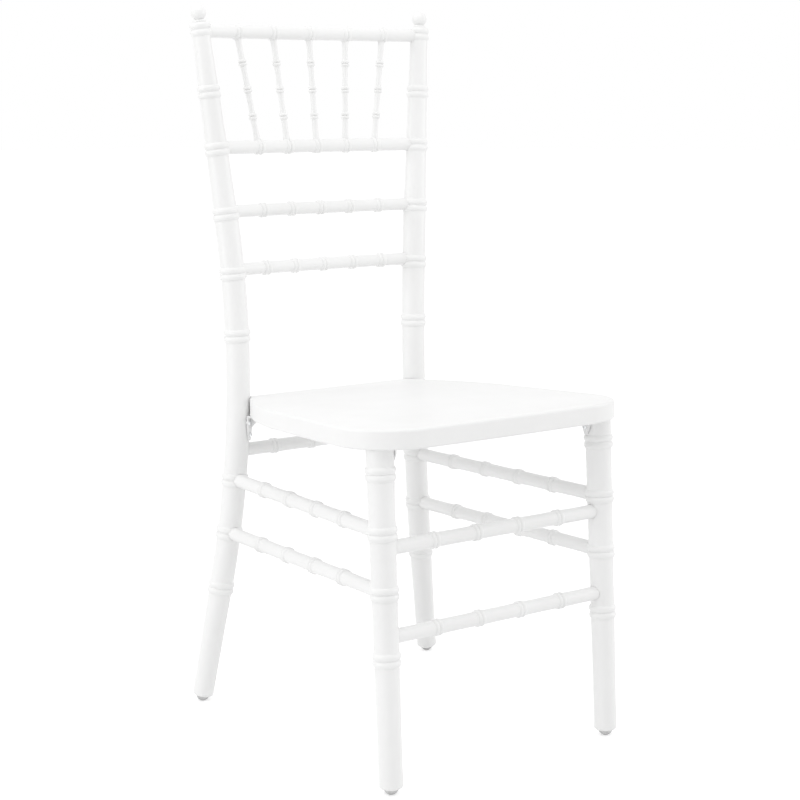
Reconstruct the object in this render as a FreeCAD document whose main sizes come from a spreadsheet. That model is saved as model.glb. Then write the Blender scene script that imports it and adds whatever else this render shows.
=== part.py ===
import FreeCAD, Part
import math
import os
import Sketcher

# A chiavari chair: turned posts, legs, rails and spindles with bamboo-like bead pairs, and a
# solid seat. -Y is the front, +Z is up, and the origin is on the floor under the middle of
# the chair. Left and right are as seen from the front, so +X is right. All in millimetres.

Vector = FreeCAD.Vector
Rotation = FreeCAD.Rotation
Placement = FreeCAD.Placement

RIGHT = Vector(1, 0, 0)
UP = Vector(0, 0, 1)

# Driving sizes. A side is half a spread across the chair, a back is behind the middle of the
# chair and a front is before it. Heights hang from the seat or from the crown of the posts.
SIZES = [
    # Seat: a solid board that tilts back; its height is at the middle of the chair
    ("seat_height", 423.8),
    ("seat_tilt", 2.86),
    ("seat_thickness", 23.6),
    ("seat_front", 228.1),
    ("seat_front_bow", 5),
    ("seat_front_side", 205.3),
    ("seat_shoulder_side", 175.5),
    ("seat_shoulder_back", 85.8),
    ("seat_rear_side", 124),
    ("seat_rear_back", 178.3),
    ("seat_corner_radius", 75.5),
    ("seat_shoulder_radius", 357),
    ("seat_top_edge_radius", 3),
    ("seat_lower_edge_radius", 2.5),
    ("seat_post_gap", 2),
    # Rear posts: a splayed lower length, a long bend at the seat and a leaning upper length
    ("rear_foot_side", 189),
    ("rear_foot_back", 205.0),
    ("knee_drop", 16.8),
    ("knee_side", 128.8),
    ("knee_back", 164.3),
    ("bend_tangent", 236),
    ("back_height", 496.2),
    ("crown_side", 174.8),
    ("crown_back", 206.9),
    ("post_foot_diameter", 28),
    ("post_middle_diameter", 31.7),
    ("post_top_diameter", 22.5),
    ("finial_diameter", 20.2),
    ("finial_neck_diameter", 10.4),
    ("finial_collar_diameter", 15.6),
    ("finial_collar_length", 3.2),
    # Front legs: turned, leaning forward at the foot
    ("front_leg_side", 167.9),
    ("front_foot_front", 209.7),
    ("front_leg_lean", 3.52),
    ("front_leg_splay", 0.2),
    ("leg_foot_diameter", 28.8),
    ("leg_top_diameter", 33.2),
    ("leg_top_edge_radius", 1),
    ("leg_tenon_diameter", 19),
    ("leg_tenon_length", 13),
    ("foot_bevel_width", 4.8),
    ("foot_bevel_height", 2.8),
    # Bead pairs, which look like the joints of bamboo
    ("post_bead_length", 8.6),
    ("post_bead_proud", 2),
    ("post_waist", 0.3),
    ("rail_bead_length", 5.4),
    ("rail_bead_proud", 1.6),
    ("rail_waist", 0.2),
    ("spindle_bead_length", 4.2),
    ("spindle_bead_proud", 1.7),
    ("spindle_waist", 0.4),
    ("ring_foot_step", 0.12),
    # Bead pairs of the front leg, from the seat's underside down
    ("leg_top_ring_drop", 29.5),
    ("side_stretcher_upper_drop", 69.6),
    ("side_stretcher_lower_drop", 70.3),
    ("leg_low_ring_drop", 78),
    # Stretchers: the side ones fall to the rear
    ("stretcher_diameter", 17.9),
    ("tenon_diameter", 11),
    ("side_stretcher_upper_fall", 4.8),
    ("side_stretcher_lower_fall", 6.5),
    ("side_stretcher_ring_spacing", 66.4),
    ("front_stretcher_upper_drop", 18.6),
    ("front_stretcher_lower_drop", 53),
    ("front_stretcher_ring_spacing", 63.5),
    ("rear_stretcher_rise", 38.5),
    ("rear_stretcher_ring_spacing", 59),
    ("post_low_ring_drop", 75),
    # Back rails, from the crown down; a rise sets a rail off the bead pair it enters
    ("top_rail_bend_radius", 1050),
    ("rail_bend_radius", 1300),
    ("back_rail_diameter", 17.3),
    ("waist_rail_diameter", 16.6),
    ("top_rail_drop", 31),
    ("back_panel_height", 151),
    ("upper_back_rail_drop", 82.7),
    ("lower_back_rail_drop", 77),
    ("post_back_ring_drop", 81.3),
    ("top_rail_rise", -1.6),
    ("spindle_rail_rise", 1.7),
    ("upper_back_rail_rise", 2.6),
    ("lower_back_rail_rise", 4.2),
    ("top_rail_ring_spacing", 57.4),
    ("back_rail_ring_spacing", 46),
    # Spindles
    ("spindle_diameter", 7.8),
    ("spindle_end_diameter", 9),
    ("spindle_ring_spacing", 35),
    # Steel brackets and screws under the seat corners
    ("bracket_thickness", 2.4),
    ("bracket_width", 16),
    ("bracket_shoulder", 9),
    ("bracket_end_width", 5),
    ("bracket_end_radius", 2.2),
    ("bracket_arm_length", 34),
    ("rear_bracket_drop", 33.5),
    ("front_bracket_drop", 20),
    ("gusset_arm", 14),
    ("gusset_drop", 17),
    ("screw_head_diameter", 6),
    ("screw_head_height", 2.4),
    ("screw_diameter", 3.5),
    ("screw_length", 16),
    # Glides nailed into the feet
    ("glide_diameter", 18),
    ("glide_height", 7.5),
    ("glide_flat_depth", 0.3),
    ("glide_nail_diameter", 2.6),
    ("glide_nail_length", 17),
    # Fits
    ("fit_clearance", 0.15),
    ("end_clearance", 0.3),
    ("face_gap", 0.1),
]

BACK_RING_COUNT = 5
STRETCHER_RING_COUNT = 4
SPINDLE_RING_COUNT = 3

doc = FreeCAD.newDocument("ChiavariChair")
sheet = doc.addObject("Spreadsheet::Sheet", "Sizes")
for row, (alias, number) in enumerate(SIZES, start=1):
    sheet.set(f"A{row}", alias)
    sheet.set(f"B{row}", str(number))
    sheet.setAlias(f"B{row}", alias)
doc.recompute()

nodes = {}


def size(alias):
    return float(getattr(sheet, alias))


def amount(value):
    """A number, or the value of an expression on the sheet."""
    if isinstance(value, str):
        return float(sheet.evalExpression(value))
    return float(value)


def half(alias):
    """The expression for a radius whose diameter is on the sheet."""
    return f"Sizes.{alias} / 2"


def unit(vector):
    copy = Vector(vector)
    copy.normalize()
    return copy


def axis_at(point, direction):
    """A placement whose Z runs along a direction from a point."""
    return Placement(point, Rotation(UP, direction))


def flipped(vector):
    """The same point or direction on the left-hand side."""
    return Vector(-vector.x, vector.y, vector.z)


def new_body(label, place=None):
    body = doc.addObject("PartDesign::Body", label)
    body.Label = label
    if place is not None:
        body.Placement = place
    nodes[label] = body
    return body


def mirrored(label, source):
    """The left-hand twin of a right-hand piece."""
    twin = doc.addObject("Part::Mirroring", label)
    twin.Label = label
    twin.Source = source
    twin.Normal = RIGHT
    twin.Base = Vector(0, 0, 0)
    nodes[label] = twin
    return twin


def origin_feature(body, role):
    return next(item for item in body.Origin.OriginFeatures if item.Role == role)


def new_sketch(body, name, plane="XZ_Plane", offset=None):
    sketch = body.newObject("Sketcher::SketchObject", name)
    sketch.AttachmentSupport = [(origin_feature(body, plane), "")]
    sketch.MapMode = "FlatFace"
    if offset is not None:
        sketch.AttachmentOffset = offset
    return sketch


# Turned outlines

def arc_through(start, end, bulge):
    """An arc from start up to end that swells outward by the bulge, or inward if negative."""
    chord = end - start
    outward = unit(Vector(chord.y, -chord.x, 0))
    radius = (chord.Length ** 2 / 4 + bulge ** 2) / (2 * abs(bulge))
    middle = (start + end) * 0.5
    centre = middle + outward * (bulge - math.copysign(radius, bulge))
    first, last = (start, end) if bulge > 0 else (end, start)
    from_angle = math.atan2(first.y - centre.y, first.x - centre.x)
    to_angle = math.atan2(last.y - centre.y, last.x - centre.x)
    if to_angle < from_angle:
        to_angle += 2 * math.pi
    return Part.ArcOfCircle(Part.Circle(centre, UP, radius), from_angle, to_angle)


def turn(body, name, outline, axis=None):
    """Turn an outline of (radius, height, bulge up to the next corner) about an axis."""
    corners = list(outline)
    if amount(corners[0][0]) > 0:
        corners.insert(0, (0, corners[0][1], 0))
    if amount(corners[-1][0]) > 0:
        corners.append((0, corners[-1][1], 0))
    offset = None
    if axis is not None:
        upright = Placement(Vector(0, 0, 0), Rotation(RIGHT, 90))
        offset = upright.inverse() * axis * upright
    sketch = new_sketch(body, name + "_outline", offset=offset)
    points = [Vector(amount(radius), height, 0) for radius, height, bulge in corners]
    ends = []
    for index, (radius, height, bulge) in enumerate(corners):
        start = points[index]
        end = points[(index + 1) % len(points)]
        if bulge:
            sketch.addGeometry(arc_through(start, end, bulge), False)
        else:
            sketch.addGeometry(Part.LineSegment(start, end), False)
        ends.append((2, 1) if bulge < 0 else (1, 2))
    held = []
    bound = {}
    for index, (radius, height, bulge) in enumerate(corners):
        start, end = ends[index]
        following = (index + 1) % len(corners)
        held.append(Sketcher.Constraint("Coincident", index, end, following, ends[following][0]))
        if amount(radius) > 0:
            if isinstance(radius, str):
                bound[len(held)] = (f"radius_{index}", radius)
            held.append(Sketcher.Constraint("DistanceX", -1, 1, index, start, points[index].x))
        else:
            held.append(Sketcher.Constraint("PointOnObject", index, start, -2))
        if abs(height) > 1e-6:
            held.append(Sketcher.Constraint("DistanceY", -1, 1, index, start, height))
        else:
            held.append(Sketcher.Constraint("PointOnObject", index, start, -1))
        if bulge:
            held.append(Sketcher.Constraint("Radius", index, sketch.Geometry[index].Radius))
    sketch.addConstraint(held)
    for number, (label, expression) in bound.items():
        sketch.renameConstraint(number, label)
        sketch.setExpression("Constraints." + label, expression)
    turning = body.newObject("PartDesign::Revolution", name)
    turning.Profile = sketch
    turning.ReferenceAxis = (sketch, ["V_Axis"])
    turning.Angle = 360
    return turning


def bamboo(start, end, radius_at, rings, kind, first_waist=None, last_waist=None):
    """Corners of a turned length with a bead pair at each ring and a slight waist between."""
    bead_length = size(kind + "_bead_length")
    bead_proud = size(kind + "_bead_proud")
    waist = size(kind + "_waist")
    corners = []
    cursor = start
    for number, ring in enumerate(rings):
        hollow = first_waist if number == 0 and first_waist is not None else waist
        corners.append((radius_at(cursor), cursor, -hollow))
        corners.append((radius_at(ring - bead_length), ring - bead_length, bead_proud))
        corners.append((radius_at(ring), ring, bead_proud))
        cursor = ring + bead_length
    hollow = waist if last_waist is None else last_waist
    corners.append((radius_at(cursor), cursor, -hollow))
    corners.append((radius_at(end), end, 0))
    return corners


def taper(low_alias, high_alias, length):
    """Expressions for the radius along a length that tapers between two diameters."""
    low = half(low_alias)
    high = half(high_alias)

    def radius_at(height):
        share = min(max(height / length, 0), 1)
        return f"{low} + ({high} - {low}) * {share:.6f}"
    return radius_at


def add_ring(body, name, place, radius, kind):
    """A bead pair round a bent rod, with its axis along the Z of its place."""
    long = size(kind + "_bead_length")
    proud = size(kind + "_bead_proud")
    foot = f"{radius} + Sizes.ring_foot_step"
    return turn(body, name, [(foot, -long, proud), (foot, 0, proud), (foot, long, 0)],
                body.Placement.inverse() * place)


def bore(body, name, place, radius, depth):
    """A round hole from a place along its Z."""
    hole = body.newObject("PartDesign::SubtractiveCylinder", name)
    hole.setExpression("Radius", radius)
    hole.Height = depth
    hole.Placement = body.Placement.inverse() * place
    return hole


# The seat's planes

TILT = math.radians(size("seat_tilt"))
SEAT_UP = Vector(0, math.sin(TILT), math.cos(TILT))
SEAT_TOP = Vector(0, 0, size("seat_height"))
SEAT_UNDER = SEAT_TOP - SEAT_UP * size("seat_thickness")


def meets_seat(point, direction):
    """Where a line reaches the seat's underside."""
    return point + direction * ((SEAT_UNDER - point).dot(SEAT_UP) / direction.dot(SEAT_UP))


# Centre lines of the rear post and the front leg on the right-hand side

CROWN_HEIGHT = size("seat_height") + size("back_height")
FOOT = Vector(size("rear_foot_side"), size("rear_foot_back"), 0)
KNEE = Vector(size("knee_side"), size("knee_back"), size("seat_height") - size("knee_drop"))
CROWN = Vector(size("crown_side"), size("crown_back"), CROWN_HEIGHT)
LOW_LINE = unit(KNEE - FOOT)
HIGH_LINE = unit(CROWN - KNEE)
BEND_START = KNEE - LOW_LINE * size("bend_tangent")
BEND_END = KNEE + HIGH_LINE * size("bend_tangent")
BEND_TURN = LOW_LINE.getAngle(HIGH_LINE)
BEND_RADIUS = size("bend_tangent") / math.tan(BEND_TURN / 2)
BEND_INWARD = unit(HIGH_LINE - LOW_LINE * HIGH_LINE.dot(LOW_LINE))
BEND_CENTRE = BEND_START + BEND_INWARD * BEND_RADIUS

LEG_FOOT = Vector(size("front_leg_side"), -size("front_foot_front"), 0)
LEAN = math.radians(size("front_leg_lean"))
SPLAY = math.radians(size("front_leg_splay"))
LEG_LINE = unit(Vector(-math.tan(SPLAY), math.tan(LEAN), 1))
LEG_TOP = meets_seat(LEG_FOOT, LEG_LINE)
LEG_LENGTH = (LEG_TOP - LEG_FOOT).Length

# Heights of the rails and of the bead pairs

LEG_TOP_RING = LEG_TOP.z - size("leg_top_ring_drop")
SIDE_UPPER_FRONT = LEG_TOP_RING - size("side_stretcher_upper_drop")
SIDE_LOWER_FRONT = SIDE_UPPER_FRONT - size("side_stretcher_lower_drop")
LEG_LOW_RING = SIDE_LOWER_FRONT - size("leg_low_ring_drop")
FRONT_UPPER = SIDE_UPPER_FRONT - size("front_stretcher_upper_drop")
FRONT_LOWER = SIDE_LOWER_FRONT - size("front_stretcher_lower_drop")
SIDE_UPPER_REAR = SIDE_UPPER_FRONT - size("side_stretcher_upper_fall")
SIDE_LOWER_REAR = SIDE_LOWER_FRONT - size("side_stretcher_lower_fall")
REAR_STRETCHER = SIDE_UPPER_REAR + size("rear_stretcher_rise")
POST_LOW_RING = SIDE_LOWER_REAR - size("post_low_ring_drop")
TOP_RING = CROWN_HEIGHT - size("top_rail_drop")
SPINDLE_RING = TOP_RING - size("back_panel_height")
UPPER_BACK_RING = SPINDLE_RING - size("upper_back_rail_drop")
LOWER_BACK_RING = UPPER_BACK_RING - size("lower_back_rail_drop")
POST_BACK_RING = LOWER_BACK_RING - size("post_back_ring_drop")


def post_at(height):
    """The point and the direction of the rear post's centre line at a height."""
    if height <= BEND_START.z:
        return FOOT + LOW_LINE * (height / LOW_LINE.z), LOW_LINE
    if height >= BEND_END.z:
        return KNEE + HIGH_LINE * ((height - KNEE.z) / HIGH_LINE.z), HIGH_LINE
    rise = LOW_LINE.z * BEND_RADIUS
    lift = -BEND_INWARD.z * BEND_RADIUS
    reach = math.asin((height - BEND_CENTRE.z) / math.hypot(rise, lift)) - math.atan2(lift, rise)
    line = LOW_LINE * math.cos(reach) + BEND_INWARD * math.sin(reach)
    inward = BEND_INWARD * math.cos(reach) - LOW_LINE * math.sin(reach)
    return BEND_CENTRE - inward * BEND_RADIUS, line


def post_radius_at(height):
    middle = size("post_middle_diameter") / 2
    if height < BEND_START.z:
        share = height / BEND_START.z
        return size("post_foot_diameter") / 2 * (1 - share) + middle * share
    share = max(height - BEND_END.z, 0) / (CROWN.z - BEND_END.z)
    return middle * (1 - share) + size("post_top_diameter") / 2 * share


def leg_at(height):
    """The point of the front leg's centre line at a height."""
    return LEG_FOOT + LEG_LINE * (height / LEG_LINE.z)


def leg_radius_at(height):
    share = height / LEG_TOP.z
    return (size("leg_foot_diameter") * (1 - share) + size("leg_top_diameter") * share) / 2


# Sockets: the rail's full diameter is let into the post, and its tenon runs past the middle

def socket_seat(post_radius, rail_alias):
    """How far from the post's centre line the rail's shoulder sits."""
    rail_radius = size(rail_alias) / 2 + size("fit_clearance")
    room = post_radius ** 2 - rail_radius ** 2
    return math.sqrt(max(room, post_radius ** 2 / 6)) - size("end_clearance")


def tenon_past(post_radius):
    """How far a tenon runs past the post's centre line."""
    return post_radius * 0.35


def cut_socket(body, name, point, toward, post_radius, rail_alias):
    """Cut the socket of a rail that leaves the post at a point in a direction."""
    seat = socket_seat(post_radius, rail_alias)
    past = tenon_past(post_radius) + size("end_clearance")
    outside = post_radius + size("post_bead_proud") + 3
    bore(body, name + "_seat", axis_at(point + toward * seat, toward),
         half(rail_alias) + " + Sizes.fit_clearance", outside - seat)
    bore(body, name + "_tenon", axis_at(point - toward * past, toward),
         half("tenon_diameter") + " + Sizes.fit_clearance", seat + past + 1)


def build_stretcher(label, start, end, start_radius, end_radius, spacing_alias):
    """A straight turned stretcher whose tenons enter round members at start and end."""
    length = (end - start).Length
    body = new_body(label, axis_at(start, unit(end - start)))
    gap = size("end_clearance")
    first = socket_seat(start_radius, "stretcher_diameter") + gap
    last = length - socket_seat(end_radius, "stretcher_diameter") - gap
    rings = [length / 2 + size(spacing_alias) * (index - (STRETCHER_RING_COUNT - 1) / 2)
             for index in range(STRETCHER_RING_COUNT)]
    tenon = half("tenon_diameter")
    outline = [(tenon, -tenon_past(start_radius), 0), (tenon, first, 0)]
    outline += bamboo(first, last, lambda height: half("stretcher_diameter"), rings, "rail")
    outline += [(tenon, last, 0), (tenon, length + tenon_past(end_radius), 0)]
    turn(body, label + "_turning", outline)
    return body


# Back rails: each bent to a radius, so that the back is slightly hollow

class BackRail:
    """A rail bent backward between the rear posts, with evenly spaced bead pairs."""

    def __init__(self, label, ring_height, diameter_alias, bend_alias, spacing_alias):
        self.label = label
        self.diameter_alias = diameter_alias
        self.bend_alias = bend_alias
        height = ring_height + size(label + "_rise")
        self.radius = size(diameter_alias) / 2
        self.post_point, self.post_line = post_at(height)
        self.post_radius = post_radius_at(height)
        self.bend_radius = size(bend_alias)
        self.post_angle = math.asin(self.post_point.x / self.bend_radius)
        centre_back = self.post_point.y - self.bend_radius * math.cos(self.post_angle)
        self.centre = Vector(0, centre_back, height)
        self.ring_step = size(spacing_alias) / self.bend_radius

    def point_at(self, angle):
        return self.centre + Vector(math.sin(angle), math.cos(angle), 0) * self.bend_radius

    def line_at(self, angle):
        return Vector(math.cos(angle), -math.sin(angle), 0)

    def ring_point(self, number):
        """The middle of a bead pair, counted from the left."""
        return self.point_at(self.ring_step * (number - (BACK_RING_COUNT - 1) / 2))

    def build(self):
        body = new_body(self.label, Placement(self.centre, Rotation()))
        gap = size("end_clearance")
        seat = socket_seat(self.post_radius, self.diameter_alias)
        reach = self.post_angle - (seat + gap) / self.bend_radius
        bend = body.newObject("PartDesign::AdditiveTorus", self.label + "_bend")
        bend.setExpression("Radius1", "Sizes." + self.bend_alias)
        bend.setExpression("Radius2", half(self.diameter_alias))
        bend.Angle3 = math.degrees(2 * reach)
        bend.Placement = Placement(Vector(0, 0, 0), Rotation(UP, 90 - math.degrees(reach)))
        lap = 3
        length = seat + gap + lap + tenon_past(self.post_radius)
        for side, name in ((1, "right"), (-1, "left")):
            outward = self.line_at(side * self.post_angle) * side
            root = self.point_at(side * self.post_angle) - outward * (seat + gap + lap)
            tenon = body.newObject("PartDesign::AdditiveCylinder", f"{self.label}_{name}_tenon")
            tenon.setExpression("Radius", half("tenon_diameter"))
            tenon.Height = length
            tenon.Placement = body.Placement.inverse() * axis_at(root, outward)
        self.add_rings(body)
        return body

    def add_rings(self, body):
        first = -self.ring_step * (BACK_RING_COUNT - 1) / 2
        place = axis_at(self.point_at(first), self.line_at(first))
        quarter = Placement(Vector(0, 0, 0), Rotation(UP, 90))
        ring = add_ring(body, self.label + "_ring", place * quarter,
                        half(self.diameter_alias), "rail")
        rings = body.newObject("PartDesign::PolarPattern", self.label + "_rings")
        rings.Originals = [ring]
        rings.Axis = (origin_feature(body, "Z_Axis"), [""])
        rings.Reversed = True
        rings.Angle = math.degrees(self.ring_step * (BACK_RING_COUNT - 1))
        rings.Occurrences = BACK_RING_COUNT
        body.Tip = rings

    def cut_post(self, post):
        toward = self.line_at(self.post_angle) * -1
        cut_socket(post, self.label + "_socket", self.post_point, toward,
                   self.post_radius, self.diameter_alias)


# Rear posts

FOOT_SWELL = size("foot_bevel_height") * 0.2
POST_RINGS = [POST_LOW_RING, SIDE_LOWER_REAR, SIDE_UPPER_REAR, POST_BACK_RING,
              LOWER_BACK_RING, UPPER_BACK_RING, SPINDLE_RING,
              (SPINDLE_RING + TOP_RING) / 2 - 3, TOP_RING]


def build_rear_post():
    body = new_body("rear_post_right")
    bead = size("post_bead_length")
    low_rings = [ring for ring in POST_RINGS if ring + bead < BEND_START.z]
    high_rings = [ring for ring in POST_RINGS if ring - bead > BEND_END.z]
    bend_rings = [ring for ring in POST_RINGS if ring not in low_rings + high_rings]

    foot_end = glide_base(LOW_LINE)
    bevel = size("foot_bevel_height")
    low_length = (BEND_START - FOOT).Length
    low_radius = taper("post_foot_diameter", "post_middle_diameter", low_length)
    outline = [(half("post_foot_diameter") + " - Sizes.foot_bevel_width", foot_end, FOOT_SWELL)]
    outline += bamboo(foot_end + bevel, low_length, low_radius,
                      [ring / LOW_LINE.z for ring in low_rings], "post", last_waist=0)
    turn(body, "lower_length", outline, axis_at(FOOT, LOW_LINE))

    bend = body.newObject("PartDesign::AdditiveTorus", "seat_bend")
    bend.Radius1 = BEND_RADIUS
    bend.setExpression("Radius2", half("post_middle_diameter"))
    bend.Angle3 = math.degrees(BEND_TURN)
    across = (BEND_INWARD * -1).cross(LOW_LINE)
    bend.Placement = Placement(
        BEND_CENTRE, Rotation(BEND_INWARD * -1, LOW_LINE, across, "ZXY"))

    high_length = (CROWN - BEND_END).Length
    high_radius = taper("post_middle_diameter", "post_top_diameter", high_length)
    rings = [(ring - BEND_END.z) / HIGH_LINE.z for ring in high_rings]
    crown = rings[-1] + bead
    collar = half("finial_collar_diameter")
    neck = half("finial_neck_diameter")
    collar_top = crown + size("finial_collar_length")
    ball_radius = size("finial_diameter") / 2
    ball_height = (CROWN_HEIGHT - BEND_END.z - ball_radius) / HIGH_LINE.z
    outline = bamboo(0, crown, high_radius, rings, "post", first_waist=0)[:-2]
    outline += [
        (high_radius(crown), crown, 0),
        (collar, crown, 0.8),
        (collar, collar_top, 0),
        (neck, collar_top, 0),
        (neck, ball_height, 0),
    ]
    turn(body, "upper_length", outline, axis_at(BEND_END, HIGH_LINE))
    ball = body.newObject("PartDesign::AdditiveSphere", "finial_ball")
    ball.setExpression("Radius", half("finial_diameter"))
    ball.Placement = axis_at(BEND_END + HIGH_LINE * ball_height, HIGH_LINE)

    for number, ring in enumerate(bend_rings, start=1):
        point, line = post_at(ring)
        add_ring(body, f"bend_ring_{number}", axis_at(point, line),
                 f"{post_radius_at(ring):.6f}", "post")
    drill_for_nail(body, FOOT, LOW_LINE)
    return body


# Glides: a domed cap on a nail, with a small flat where it meets the floor

GLIDE_DOME = (size("glide_diameter") ** 2 / 4 + size("glide_height") ** 2) / (2 * size("glide_height"))


def glide_base(line):
    """How far along a leg from the floor the glide's cap ends and the wood begins."""
    centre = (GLIDE_DOME - size("glide_flat_depth")) / line.z
    return centre - (GLIDE_DOME - size("glide_height"))


def build_glide(label, foot, line):
    base = foot + line * (glide_base(line) - size("face_gap"))
    body = new_body(label, axis_at(base, line))
    chord = math.hypot(size("glide_diameter") / 2, size("glide_height"))
    swell = GLIDE_DOME - math.sqrt(GLIDE_DOME ** 2 - chord ** 2 / 4)
    nail = half("glide_nail_diameter")
    nail_length = size("glide_nail_length")
    turn(body, label + "_turning", [
        (0, -size("glide_height"), swell),
        (half("glide_diameter"), 0, 0),
        (nail, 0, 0),
        (nail, nail_length - 4, 0),
        (0, nail_length, 0),
    ])
    below = axis_at(Vector(base.x, base.y, -5), UP)
    bore(body, label + "_flat", below, half("glide_diameter") + " + 4", 5)
    return body


def drill_for_nail(body, foot, line):
    start = foot + line * (glide_base(line) - 1)
    bore(body, "nail_hole", axis_at(start, line),
         half("glide_nail_diameter") + " + Sizes.fit_clearance",
         size("glide_nail_length") + 1 + size("end_clearance"))


# Front legs

def round_edges(body, name, previous, test, radius_alias):
    """Round the edges of a feature that pass a test of their two ends."""
    doc.recompute()
    edges = []
    for number, edge in enumerate(previous.Shape.Edges, start=1):
        ends = [vertex.Point for vertex in edge.Vertexes]
        if test(ends[0], ends[-1]):
            edges.append(f"Edge{number}")
    fillet = body.newObject("PartDesign::Fillet", name)
    fillet.Base = (previous, edges)
    fillet.setExpression("Radius", "Sizes." + radius_alias)
    return fillet


def build_front_leg():
    body = new_body("front_leg_right", axis_at(LEG_FOOT, LEG_LINE))
    foot_end = glide_base(LEG_LINE)
    bevel = size("foot_bevel_height")
    heights = (LEG_LOW_RING, SIDE_LOWER_FRONT, SIDE_UPPER_FRONT, LEG_TOP_RING)
    outline = [(half("leg_foot_diameter") + " - Sizes.foot_bevel_width", foot_end, FOOT_SWELL)]
    outline += bamboo(foot_end + bevel, LEG_LENGTH + 2,
                      taper("leg_foot_diameter", "leg_top_diameter", LEG_LENGTH),
                      [height / LEG_LINE.z for height in heights], "post")
    turn(body, "leg_turning", outline)
    trim = body.newObject("PartDesign::SubtractiveBox", "seat_trim")
    reach = size("leg_top_diameter")
    trim.Length = reach * 2
    trim.Width = reach * 2
    trim.Height = reach
    corner = LEG_TOP - SEAT_UP * size("face_gap") - RIGHT * reach - SEAT_UP.cross(RIGHT) * reach
    trim.Placement = body.Placement.inverse() * Placement(corner, Rotation(UP, SEAT_UP))
    below_top = LEG_LENGTH - size("leg_top_diameter") / 4
    round_edges(body, "top_edge", trim, lambda start, end: min(start.z, end.z) > below_top,
                "leg_top_edge_radius")
    lap = 6
    pin = body.newObject("PartDesign::AdditiveCylinder", "seat_tenon")
    pin.setExpression("Radius", half("leg_tenon_diameter"))
    pin.Height = size("leg_tenon_length") + lap
    pin.Placement = Placement(Vector(0, 0, LEG_LENGTH - lap), Rotation())
    drill_for_nail(body, LEG_FOOT, LEG_LINE)
    return body


# Seat

def build_seat():
    """The seat board: its outline is drawn in its own plane, with its origin at mid-chair."""
    body = new_body("seat", Placement(SEAT_UNDER, Rotation(UP, SEAT_UP)))
    front = Vector(size("seat_front_side"), size("seat_front_bow") - size("seat_front"), 0)
    shoulder = Vector(size("seat_shoulder_side"), size("seat_shoulder_back"), 0)
    rear = Vector(size("seat_rear_side"), size("seat_rear_back"), 0)
    sketch = new_sketch(body, "seat_outline", "XY_Plane")
    points = [front, shoulder, rear, flipped(rear), flipped(shoulder), flipped(front)]
    for start, end in zip(points, points[1:]):
        sketch.addGeometry(Part.LineSegment(start, end), False)
    front_middle = Vector(0, -size("seat_front"), 0)
    sketch.addGeometry(Part.Arc(points[-1], front_middle, points[0]), False)
    bow = len(points) - 1
    for index in range(bow + 1):
        sketch.addConstraint(
            Sketcher.Constraint("Coincident", index, 2, (index + 1) % (bow + 1), 1))
    for index, alias in enumerate(("seat_front_side", "seat_shoulder_side", "seat_rear_side")):
        place = sketch.addConstraint(
            Sketcher.Constraint("DistanceX", -1, 1, index, 1, size(alias)))
        sketch.renameConstraint(place, alias)
        sketch.setExpression("Constraints." + alias, "Sizes." + alias)
    for index, name, expression in (
            (0, "front_back", "Sizes.seat_front_bow - Sizes.seat_front"),
            (1, "shoulder_back", "Sizes.seat_shoulder_back"),
            (2, "rear_back", "Sizes.seat_rear_back")):
        place = sketch.addConstraint(
            Sketcher.Constraint("DistanceY", -1, 1, index, 1, amount(expression)))
        sketch.renameConstraint(place, name)
        sketch.setExpression("Constraints." + name, expression)
    for index, twin in ((0, 4), (1, 3), (2, 2)):
        sketch.addConstraint(Sketcher.Constraint("Symmetric", index, 1, twin, 2, -2))
    sketch.addConstraint(Sketcher.Constraint("Radius", bow, sketch.Geometry[bow].Radius))
    board = body.newObject("PartDesign::Pad", "board")
    board.Profile = sketch
    board.setExpression("Length", "Sizes.seat_thickness")

    def upright_at(target):
        def test(start, end):
            upright = abs(end.z - start.z) > thickness / 2
            return upright and math.hypot(abs(start.x) - target.x, start.y - target.y) < 0.01
        return test

    thickness = size("seat_thickness")
    corners = round_edges(body, "front_corners", board, upright_at(front), "seat_corner_radius")
    sides = round_edges(body, "side_shoulders", corners, upright_at(shoulder),
                        "seat_shoulder_radius")
    upper = round_edges(body, "upper_edge", sides,
                        lambda start, end: min(start.z, end.z) > thickness - 0.01,
                        "seat_top_edge_radius")
    round_edges(body, "lower_edge", upper, lambda start, end: max(start.z, end.z) < 0.01,
                "seat_lower_edge_radius")
    return body


def cut_seat(body):
    """Clear the rear posts and bore the seat for the tenons of the front legs."""
    post_point, post_line = post_at(KNEE.z)
    reach = 40
    for side, flip in (("right", Vector), ("left", flipped)):
        line = flip(post_line)
        bore(body, f"{side}_post_notch", axis_at(flip(post_point) - line * reach, line),
             half("post_middle_diameter") + " + Sizes.seat_post_gap", reach * 2)
        leg_line = flip(LEG_LINE)
        bore(body, f"{side}_leg_mortise", axis_at(flip(LEG_TOP) - leg_line * 2, leg_line),
             half("leg_tenon_diameter") + " + Sizes.fit_clearance",
             size("leg_tenon_length") + 2 + size("end_clearance"))


# Brackets under the seat corners

def closed_outline(body, name, points, plane="XZ_Plane"):
    sketch = new_sketch(body, name + "_outline", plane)
    count = len(points)
    for index in range(count):
        start = Vector(points[index][0], points[index][1], 0)
        end = Vector(points[(index + 1) % count][0], points[(index + 1) % count][1], 0)
        sketch.addGeometry(Part.LineSegment(start, end), False)
    for index in range(count):
        sketch.addConstraint(Sketcher.Constraint("Coincident", index, 2, (index + 1) % count, 1))
        for kind, value, axis in (("DistanceX", points[index][0], -2),
                                  ("DistanceY", points[index][1], -1)):
            if abs(value) > 1e-6:
                sketch.addConstraint(Sketcher.Constraint(kind, -1, 1, index, 1, value))
            else:
                sketch.addConstraint(Sketcher.Constraint("PointOnObject", index, 1, axis))
    return sketch


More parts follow.
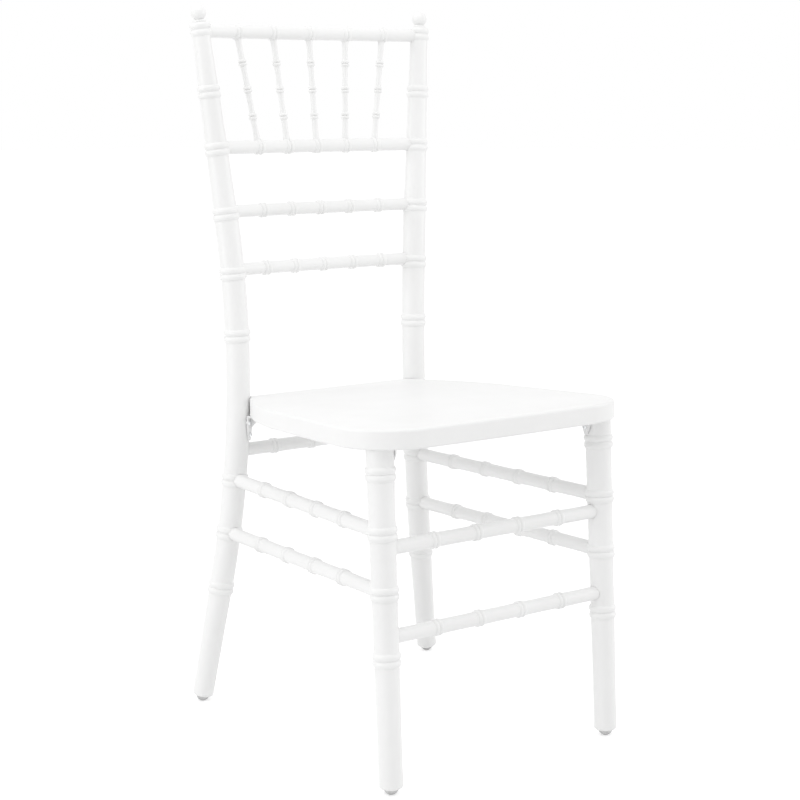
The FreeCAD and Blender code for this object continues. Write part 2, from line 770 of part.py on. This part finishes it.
def pad_outline(body, name, points, width_alias):
    """A closed outline in the body's XZ plane, padded by a width shared to both sides."""
    pad = body.newObject("PartDesign::Pad", name)
    pad.Profile = closed_outline(body, name, points)
    pad.SideType = "Symmetric"
    pad.setExpression("Length", "Sizes." + width_alias)
    return pad


def taper_flange(body, name, plane, reach, turned):
    """Cut both corners off a flange, so that it narrows from its shoulder to its end."""
    wide = size("bracket_width") / 2
    narrow = size("bracket_end_width") / 2
    start = size("bracket_shoulder")
    slope = (wide - narrow) / (reach - start)
    for side, label in ((1, "left"), (-1, "right")):
        corners = [(start - 1, wide + slope), (reach + 1, narrow - slope), (reach + 1, wide + slope)]
        points = [(side * across, -along) if turned else (along, side * across)
                  for along, across in corners]
        cut = body.newObject("PartDesign::Pocket", f"{name}_{label}")
        cut.Profile = closed_outline(body, f"{name}_{label}", points, plane)
        cut.Type = "ThroughAll"
        cut.SideType = "Symmetric"
    return cut


def build_bracket(label, point, line, radius, toward, drop, gusset):
    """An angle of steel plate from a round member to the seat; gives its screw places."""
    gap = size("face_gap")
    plate = size("bracket_thickness")
    arm = size("bracket_arm_length")
    along = unit(toward - SEAT_UP * toward.dot(SEAT_UP))
    across = SEAT_UP.cross(along)
    lean = -line.dot(along) / line.dot(SEAT_UP)
    corner = meets_seat(point, line) + along * ((radius + gap) * math.hypot(1, lean))
    body = new_body(label, Placement(corner, Rotation(along, across, SEAT_UP, "ZXY")))
    flat = gap + plate
    pad_outline(body, label + "_plate", [
        (lean * gap, -gap),
        (arm, -gap),
        (arm, -flat),
        (plate + lean * flat, -flat),
        (plate + lean * drop, -drop),
        (lean * drop, -drop),
    ], "bracket_width")
    taper_flange(body, label + "_arm_end", "XY_Plane", arm, False)
    tapered = taper_flange(body, label + "_drop_end", "YZ_Plane", drop, True)
    narrow = size("bracket_end_width") / 2

    def at_an_end(start, end):
        beside = abs(abs(start.y) - narrow) < 0.01 and abs(start.y - end.y) < 0.01
        on_arm = min(start.x, end.x) > arm - 0.01
        return beside and (on_arm or max(start.z, end.z) < 0.01 - drop)

    round_edges(body, label + "_ends", tapered, at_an_end, "bracket_end_radius")
    if gusset:
        root = plate + lean * flat
        low = size("gusset_drop")
        tip = root + size("gusset_arm")
        pad_outline(body, label + "_gusset", [
            (root - plate / 2, -flat + plate / 2),
            (tip, -flat + plate / 2),
            (tip, -flat - 1),
            (plate + lean * low + 1, -low),
            (plate / 2 + lean * low, -low),
        ], "bracket_thickness")
    aside = plate / 2 + size("screw_head_diameter") / 2 + 0.5
    inward = unit(Vector(-1, 0, -lean))
    near_end = 8
    near_bend = 9.5
    if gusset:
        arm_spots = [(arm - near_end, 0), (near_bend, -aside)]
        drop_spots = [(drop - near_end, 0), (near_bend, aside)]
    else:
        arm_spots = [(arm - near_end, 0), (arm - 2.5 * near_end, 0)]
        drop_spots = [(drop / 2, 0)]
    spots = [(Vector(along, side, -flat), UP) for along, side in arm_spots]
    spots += [(Vector(plate + lean * down, side, -down), inward) for down, side in drop_spots]
    places = []
    for number, (spot, direction) in enumerate(spots, start=1):
        place = axis_at(body.Placement.multVec(spot), body.Placement.Rotation.multVec(direction))
        before = place * Placement(Vector(0, 0, -1), Rotation())
        bore(body, f"{label}_hole_{number}", before,
             half("screw_diameter") + " + 2 * Sizes.fit_clearance", plate + 2)
        places.append(place)
    return places[:2], places[2:]


def build_screw():
    """One bracket screw; its Z points into the wood from the bracket's face."""
    body = doc.addObject("PartDesign::Body", "bracket_screw")
    gap = size("face_gap")
    head = half("screw_head_diameter")
    shank = half("screw_diameter")
    length = size("screw_length")
    turn(body, "screw_turning", [
        (0, -gap - size("screw_head_height"), 0.4),
        (head, -gap - 0.9, 0),
        (head, -gap, 0),
        (shank, -gap, 0),
        (shank, length - 3.5, 0),
        (0, length, 0),
    ])
    for number, angle in enumerate((0, 90), start=1):
        slot = body.newObject("PartDesign::SubtractiveBox", f"screw_slot_{number}")
        slot.Length = 3.6
        slot.Width = 0.9
        slot.Height = 1.6
        turned = Placement(Vector(0, 0, 0), Rotation(UP, angle))
        low = -gap - size("screw_head_height") - 0.5
        slot.Placement = turned * Placement(Vector(-1.8, -0.45, low), Rotation())
    return body


def drill_for_screws(body, name, places):
    for number, place in enumerate(places, start=1):
        bore(body, f"{name}_{number}", place, half("screw_diameter") + " + Sizes.fit_clearance",
             size("screw_length") + size("end_clearance"))


def flipped_place(place):
    return axis_at(flipped(place.Base), flipped(place.Rotation.multVec(UP)))


# The chair

post = build_rear_post()
leg = build_front_leg()
seat = build_seat()

rails = [
    BackRail("top_rail", TOP_RING, "back_rail_diameter", "top_rail_bend_radius",
             "top_rail_ring_spacing"),
    BackRail("spindle_rail", SPINDLE_RING, "back_rail_diameter", "rail_bend_radius",
             "back_rail_ring_spacing"),
    BackRail("upper_back_rail", UPPER_BACK_RING, "waist_rail_diameter", "rail_bend_radius",
             "back_rail_ring_spacing"),
    BackRail("lower_back_rail", LOWER_BACK_RING, "waist_rail_diameter", "rail_bend_radius",
             "back_rail_ring_spacing"),
]
for rail in rails:
    rail_body = rail.build()
    rail.cut_post(post)

# Spindles stand in the grooves of the bead pairs; each end stops short of its rail's middle
SPINDLE_NAMES = ("left_outer", "left_inner", "centre", "right_inner", "right_outer")
top_rail, spindle_rail = rails[0], rails[1]
stop = 1
for number, name in enumerate(SPINDLE_NAMES):
    low = spindle_rail.ring_point(number)
    high = top_rail.ring_point(number)
    line = unit(high - low)
    length = (high - low).Length
    label = "spindle_" + name
    spindle = new_body(label, axis_at(low, line))
    first = stop + size("end_clearance")
    last = length - stop - size("end_clearance")
    shown = spindle_rail.radius
    rings = [length / 2 + size("spindle_ring_spacing") * (index - (SPINDLE_RING_COUNT - 1) / 2)
             for index in range(SPINDLE_RING_COUNT)]
    end_radius = half("spindle_end_diameter")
    middle = bamboo(shown, length - shown, lambda height: half("spindle_diameter"), rings, "spindle")
    middle[0] = (end_radius, shown, middle[0][2])
    middle[-1] = (end_radius, length - shown, 0)
    turn(spindle, label + "_turning", [(end_radius, first, 0)] + middle + [(end_radius, last, 0)])
    for rail, point, toward in ((spindle_rail, low, line), (top_rail, high, line * -1)):
        depth = rail.radius + size("rail_bead_proud") + 2
        bore(nodes[rail.label], f"{rail.label}_{name}_socket", axis_at(point + toward * stop, toward),
             half("spindle_end_diameter") + " + Sizes.fit_clearance", depth)

# Stretchers
for level, height in (("upper", FRONT_UPPER), ("lower", FRONT_LOWER)):
    start = flipped(leg_at(height))
    end = leg_at(height)
    radius = leg_radius_at(height)
    label = "front_stretcher_" + level
    build_stretcher(label, start, end, radius, radius, "front_stretcher_ring_spacing")
    cut_socket(leg, label + "_socket", end, RIGHT * -1, radius, "stretcher_diameter")
for level, front_height, rear_height in (("upper", SIDE_UPPER_FRONT, SIDE_UPPER_REAR),
                                         ("lower", SIDE_LOWER_FRONT, SIDE_LOWER_REAR)):
    start = leg_at(front_height)
    end = post_at(rear_height)[0]
    start_radius = leg_radius_at(front_height)
    end_radius = post_radius_at(rear_height)
    label = "side_stretcher_right_" + level
    side = build_stretcher(label, start, end, start_radius, end_radius,
                           "side_stretcher_ring_spacing")
    mirrored("side_stretcher_left_" + level, side)
    cut_socket(leg, label + "_socket", start, unit(end - start), start_radius,
               "stretcher_diameter")
    cut_socket(post, label + "_socket", end, unit(start - end), end_radius,
               "stretcher_diameter")
rear_end = post_at(REAR_STRETCHER)[0]
rear_radius = post_radius_at(REAR_STRETCHER)
build_stretcher("rear_stretcher", flipped(rear_end), rear_end, rear_radius, rear_radius,
                "rear_stretcher_ring_spacing")
cut_socket(post, "rear_stretcher_socket", rear_end, RIGHT * -1, rear_radius,
           "stretcher_diameter")

# Brackets face inward under the seat: the rear ones also forward, the front ones a little back
post_point, post_line = post_at(meets_seat(KNEE, UP).z - size("rear_bracket_drop") / 2)
rear_seat_screws, post_screws = build_bracket(
    "seat_bracket_rear_right", post_point, post_line, post_radius_at(post_point.z),
    Vector(-3, -4, 0), size("rear_bracket_drop"), True)
front_seat_screws, leg_screws = build_bracket(
    "seat_bracket_front_right", LEG_FOOT, LEG_LINE, size("leg_top_diameter") / 2,
    Vector(-8, 1, 0), size("front_bracket_drop"), False)
mirrored("seat_bracket_rear_left", nodes["seat_bracket_rear_right"])
mirrored("seat_bracket_front_left", nodes["seat_bracket_front_right"])

seat_screws = rear_seat_screws + front_seat_screws
cut_seat(seat)
drill_for_screws(seat, "right_screw_hole", seat_screws)
drill_for_screws(seat, "left_screw_hole", [flipped_place(place) for place in seat_screws])
drill_for_screws(post, "bracket_screw_hole", post_screws)
drill_for_screws(leg, "bracket_screw_hole", leg_screws)

screw = build_screw()
doc.recompute()
right_screws = seat_screws + post_screws + leg_screws
screws = []
for place in right_screws + [flipped_place(place) for place in right_screws]:
    copy = screw.Shape.copy()
    copy.Placement = place
    screws.append(copy)
screw_set = doc.addObject("Part::Feature", "bracket_screws")
screw_set.Label = "bracket_screws"
screw_set.Shape = Part.makeCompound(screws)
nodes["bracket_screws"] = screw_set

# Glides and the left-hand twins
rear_glide = build_glide("glide_rear_right", FOOT, LOW_LINE)
front_glide = build_glide("glide_front_right", LEG_FOOT, LEG_LINE)
mirrored("glide_rear_left", rear_glide)
mirrored("glide_front_left", front_glide)
mirrored("rear_post_left", post)
mirrored("front_leg_left", leg)

doc.recompute()

for item in doc.Objects:
    if "Invalid" in item.State or "Error" in item.State:
        raise RuntimeError(f"{item.Label} failed: {item.State}")
for label, node in nodes.items():
    if node.Shape.isNull() or not node.Shape.isValid():
        raise RuntimeError(f"{label} has no valid shape")
    expected = len(screws) if label == "bracket_screws" else 1
    if len(node.Shape.Solids) != expected:
        raise RuntimeError(f"{label} has {len(node.Shape.Solids)} solids, not {expected}")

os.makedirs("parts", exist_ok=True)
for label, node in nodes.items():
    node.Shape.exportStep(f"parts/{label}.step")
print(f"{len(nodes)} nodes written")
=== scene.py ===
# White chiavari chair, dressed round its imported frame.
# Metres, +Z up, -Y is the chair's front and +X its right side as seen from the front.
import math

import bpy
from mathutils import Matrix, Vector

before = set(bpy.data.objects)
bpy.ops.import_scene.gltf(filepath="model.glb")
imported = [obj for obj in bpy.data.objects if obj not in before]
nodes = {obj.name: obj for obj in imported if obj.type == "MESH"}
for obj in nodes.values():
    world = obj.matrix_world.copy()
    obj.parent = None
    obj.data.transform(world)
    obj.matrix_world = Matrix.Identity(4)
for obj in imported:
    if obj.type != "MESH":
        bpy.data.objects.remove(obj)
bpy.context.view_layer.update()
scene = bpy.context.scene
scene.view_settings.view_transform = "Standard"

# Camera at the photograph's viewing angle; angles in radians
CAMERA_PLACE = Vector((-1.2892, -1.7994, 0.8081))
CAMERA_AZIMUTH = -0.6195
CAMERA_ELEVATION = 0.1727
FOCAL_PIXELS = 1754.73
IMAGE_PIXELS = 800
SENSOR_WIDTH = 36.0

camera_data = bpy.data.cameras.new("photo_camera")
camera_data.sensor_fit = "HORIZONTAL"
camera_data.sensor_width = SENSOR_WIDTH
camera_data.lens = SENSOR_WIDTH * FOCAL_PIXELS / IMAGE_PIXELS
camera_data.clip_start = 0.05
camera_data.clip_end = 60.0
camera = bpy.data.objects.new("photo_camera", camera_data)
scene.collection.objects.link(camera)
backward = Vector((
    math.sin(CAMERA_AZIMUTH) * math.cos(CAMERA_ELEVATION),
    -math.cos(CAMERA_AZIMUTH) * math.cos(CAMERA_ELEVATION),
    math.sin(CAMERA_ELEVATION),
))
camera.location = CAMERA_PLACE
camera.rotation_euler = (-backward).to_track_quat("-Z", "Y").to_euler()
scene.camera = camera


# Building blocks of the materials

# Noise keeps mostly between these two values, so they stand for the ends of a range
NOISE_LOW = 0.3
NOISE_HIGH = 0.7


def grey(tone):
    return (tone, tone, tone)


def new_material(name):
    material = bpy.data.materials.new(name)
    material.use_nodes = True
    tree = material.node_tree
    tree.nodes.clear()
    output = tree.nodes.new("ShaderNodeOutputMaterial")
    shader = tree.nodes.new("ShaderNodeBsdfPrincipled")
    tree.links.new(shader.outputs["BSDF"], output.inputs["Surface"])
    return material, tree, shader


def object_place(tree, stretch=(1.0, 1.0, 1.0)):
    coordinates = tree.nodes.new("ShaderNodeTexCoord")
    mapping = tree.nodes.new("ShaderNodeMapping")
    mapping.inputs["Scale"].default_value = stretch
    tree.links.new(coordinates.outputs["Object"], mapping.inputs["Vector"])
    return mapping.outputs["Vector"]


def noise(tree, place, scale, detail, roughness=0.55):
    texture = tree.nodes.new("ShaderNodeTexNoise")
    texture.inputs["Scale"].default_value = scale
    texture.inputs["Detail"].default_value = detail
    texture.inputs["Roughness"].default_value = roughness
    tree.links.new(place, texture.inputs["Vector"])
    return texture.outputs["Fac"]


def between(tree, amount, low, high, start=NOISE_LOW, end=NOISE_HIGH):
    spread = tree.nodes.new("ShaderNodeMapRange")
    spread.inputs["From Min"].default_value = start
    spread.inputs["From Max"].default_value = end
    spread.inputs["To Min"].default_value = low
    spread.inputs["To Max"].default_value = high
    tree.links.new(amount, spread.inputs["Value"])
    return spread.outputs["Result"]


def colours_between(tree, amount, first, second):
    ramp = tree.nodes.new("ShaderNodeValToRGB")
    for element, place, colour in zip(
            ramp.color_ramp.elements, (NOISE_LOW, NOISE_HIGH), (first, second)):
        element.position = place
        element.color = (*colour, 1.0)
    tree.links.new(amount, ramp.inputs["Fac"])
    return ramp.outputs["Color"]


def add_bump(tree, shader, height, depth, strength, under=None):
    """Raise the surface by a height, on top of another bump where one is given."""
    bump = tree.nodes.new("ShaderNodeBump")
    bump.inputs["Distance"].default_value = depth
    bump.inputs["Strength"].default_value = strength
    tree.links.new(height, bump.inputs["Height"])
    if under is not None:
        tree.links.new(under, bump.inputs["Normal"])
    tree.links.new(bump.outputs["Normal"], shader.inputs["Normal"])
    return bump.outputs["Normal"]


# Materials of the chair

def painted_wood(name, grain_stretch):
    """Satin white paint: a faint drift of tone, patchy sheen, the wood's grain and the film."""
    material, tree, shader = new_material(name)
    even = object_place(tree)
    along = object_place(tree, grain_stretch)
    tone = noise(tree, even, scale=9.0, detail=4.0)
    colour = colours_between(tree, tone, (0.862, 0.862, 0.858), (0.892, 0.892, 0.890))
    tree.links.new(colour, shader.inputs["Base Color"])
    sheen_patches = noise(tree, even, scale=26.0, detail=3.0)
    tree.links.new(between(tree, sheen_patches, 0.30, 0.40), shader.inputs["Roughness"])
    grain = noise(tree, along, scale=60.0, detail=4.0, roughness=0.6)
    film = noise(tree, even, scale=420.0, detail=2.0, roughness=0.5)
    grained = add_bump(tree, shader, grain, depth=0.0004, strength=0.12)
    add_bump(tree, shader, film, depth=0.00012, strength=0.16, under=grained)
    return material


def painted_steel(name):
    """White paint on pressed steel, with a fine orange peel."""
    material, tree, shader = new_material(name)
    place = object_place(tree)
    tone = noise(tree, place, scale=60.0, detail=3.0)
    colour = colours_between(tree, tone, grey(0.80), grey(0.86))
    tree.links.new(colour, shader.inputs["Base Color"])
    gloss = noise(tree, place, scale=140.0, detail=2.0)
    tree.links.new(between(tree, gloss, 0.26, 0.38), shader.inputs["Roughness"])
    peel = noise(tree, place, scale=700.0, detail=2.0)
    add_bump(tree, shader, peel, depth=0.0001, strength=0.2)
    return material


def plated_steel(name, dark, bright, rough_low, rough_high):
    """Bare plated steel with worn patches and fine level scratches."""
    material, tree, shader = new_material(name)
    place = object_place(tree)
    tone = noise(tree, place, scale=180.0, detail=4.0)
    tree.links.new(colours_between(tree, tone, dark, bright), shader.inputs["Base Color"])
    shader.inputs["Metallic"].default_value = 1.0
    wear = noise(tree, place, scale=420.0, detail=3.0)
    tree.links.new(between(tree, wear, rough_low, rough_high), shader.inputs["Roughness"])
    scratches = noise(tree, object_place(tree, (1.0, 1.0, 6.0)), scale=900.0, detail=2.0)
    add_bump(tree, shader, scratches, depth=0.00008, strength=0.2)
    return material


# The grain is drawn out along each piece: in height, from left to right, or from front to back
GRAIN_ALONG = 0.5
GRAIN_ACROSS = 6.0
upright_paint = painted_wood("white_paint_upright", (GRAIN_ACROSS, GRAIN_ACROSS, GRAIN_ALONG))
cross_paint = painted_wood("white_paint_cross", (GRAIN_ALONG, GRAIN_ACROSS, GRAIN_ACROSS))
side_paint = painted_wood("white_paint_side", (GRAIN_ACROSS, GRAIN_ALONG, GRAIN_ACROSS))
bracket_paint = painted_steel("white_paint_steel")
screw_plating = plated_steel("zinc_plating", (0.76, 0.77, 0.78), (0.86, 0.87, 0.88), 0.38, 0.52)
glide_plating = plated_steel("glide_plating", grey(0.42), grey(0.55), 0.34, 0.50)

# A node takes the material of the first row whose text its name starts with; the row's slot name
# is looked up but not given to the node.
# The empty text of the last row fits every name.
FINISHES = (
    ("glide", glide_plating, "glide_steel"),
    ("seat_bracket", bracket_paint, "painted_white_steel"),
    ("bracket_screws", screw_plating, "zinc_plated_steel"),
    ("side_stretcher", side_paint, "painted_white_wood"),
    ("rear_post", upright_paint, "painted_white_wood"),
    ("front_leg", upright_paint, "painted_white_wood"),
    ("spindle_rail", cross_paint, "painted_white_wood"),
    ("spindle", upright_paint, "painted_white_wood"),
    ("", cross_paint, "painted_white_wood"),
)

for name, node in nodes.items():
    material, slot = next(
        (material, slot) for start, material, slot in FINISHES if name.startswith(start))
    node.data.materials.clear()
    node.data.materials.append(material)


# Floor and world: both show as white, and light the chair with less than they show

FLOOR_TONE = 0.86
FLOOR_LIFT = 0.40
FLOOR_RADIUS = 24.0
AMBIENT = 0.82
WHITE = 1.0


def seen_rays(tree):
    """One for the rays by which the camera, gloss and glass see a surface, zero for the rest."""
    path = tree.nodes.new("ShaderNodeLightPath")
    seen = path.outputs["Is Camera Ray"]
    for kind in ("Is Glossy Ray", "Is Transmission Ray"):
        either = tree.nodes.new("ShaderNodeMath")
        either.operation = "MAXIMUM"
        tree.links.new(seen, either.inputs[0])
        tree.links.new(path.outputs[kind], either.inputs[1])
        seen = either.outputs[0]
    return seen


def unseen_or_seen(tree, unseen, seen):
    return between(tree, seen_rays(tree), unseen, seen, start=0.0, end=1.0)


floor_material, floor_tree, floor_shader = new_material("floor_white")
floor_shader.inputs["Base Color"].default_value = (*grey(FLOOR_TONE), 1.0)
floor_shader.inputs["Roughness"].default_value = 0.9
floor_shader.inputs["Specular IOR Level"].default_value = 0.0
floor_glow = floor_tree.nodes.new("ShaderNodeEmission")
floor_sum = floor_tree.nodes.new("ShaderNodeAddShader")
floor_lift = unseen_or_seen(floor_tree, 0.0, FLOOR_LIFT)
floor_tree.links.new(floor_lift, floor_glow.inputs["Strength"])
floor_tree.links.new(floor_shader.outputs["BSDF"], floor_sum.inputs[0])
floor_tree.links.new(floor_glow.outputs["Emission"], floor_sum.inputs[1])
floor_output = floor_tree.nodes["Material Output"]
floor_tree.links.new(floor_sum.outputs["Shader"], floor_output.inputs["Surface"])

bpy.ops.mesh.primitive_circle_add(vertices=96, radius=FLOOR_RADIUS, fill_type="NGON")
floor = bpy.context.object
floor.name = "floor"
floor.data.materials.append(floor_material)

world = bpy.data.worlds.new("studio")
world.use_nodes = True
scene.world = world
world_tree = world.node_tree
world_tree.nodes.clear()
world_output = world_tree.nodes.new("ShaderNodeOutputWorld")
world_light = world_tree.nodes.new("ShaderNodeBackground")
world_light.inputs["Color"].default_value = (1.0, 1.0, 1.0, 1.0)
world_level = unseen_or_seen(world_tree, AMBIENT, WHITE)
world_tree.links.new(world_level, world_light.inputs["Strength"])
world_tree.links.new(world_light.outputs["Background"], world_output.inputs["Surface"])


# Lamps
def softbox(name, place, target, size, watts):
    lamp_data = bpy.data.lights.new(name, "AREA")
    lamp_data.shape = "RECTANGLE"
    lamp_data.size, lamp_data.size_y = size
    lamp_data.energy = watts
    lamp = bpy.data.objects.new(name, lamp_data)
    scene.collection.objects.link(lamp)
    lamp.location = place
    lamp.rotation_euler = (Vector(target) - Vector(place)).to_track_quat("-Z", "Y").to_euler()
    lamp.visible_camera = False
    return lamp


lamps = [
    softbox("overhead", (-0.5, 0.1, 3.0), (0.0, 0.0, 0.4), size=(2.4, 2.4), watts=8.4),
    softbox("rear_left", (-2.6, 1.5, 1.9), (0.0, 0.0, 0.5), size=(1.2, 1.8), watts=8.6),
    softbox("high_front", (-0.4, -0.8, 2.1), (0.0, 0.2, 0.8), size=(1.0, 1.0), watts=4.7),
    softbox("right", (2.7, -1.5, 1.2), (0.0, 0.0, 0.5), size=(1.5, 1.5), watts=13.0),
    softbox("low_left", (-2.9, 0.4, 0.7), (0.0, 0.0, 0.3), size=(1.5, 1.2), watts=9.0),
]
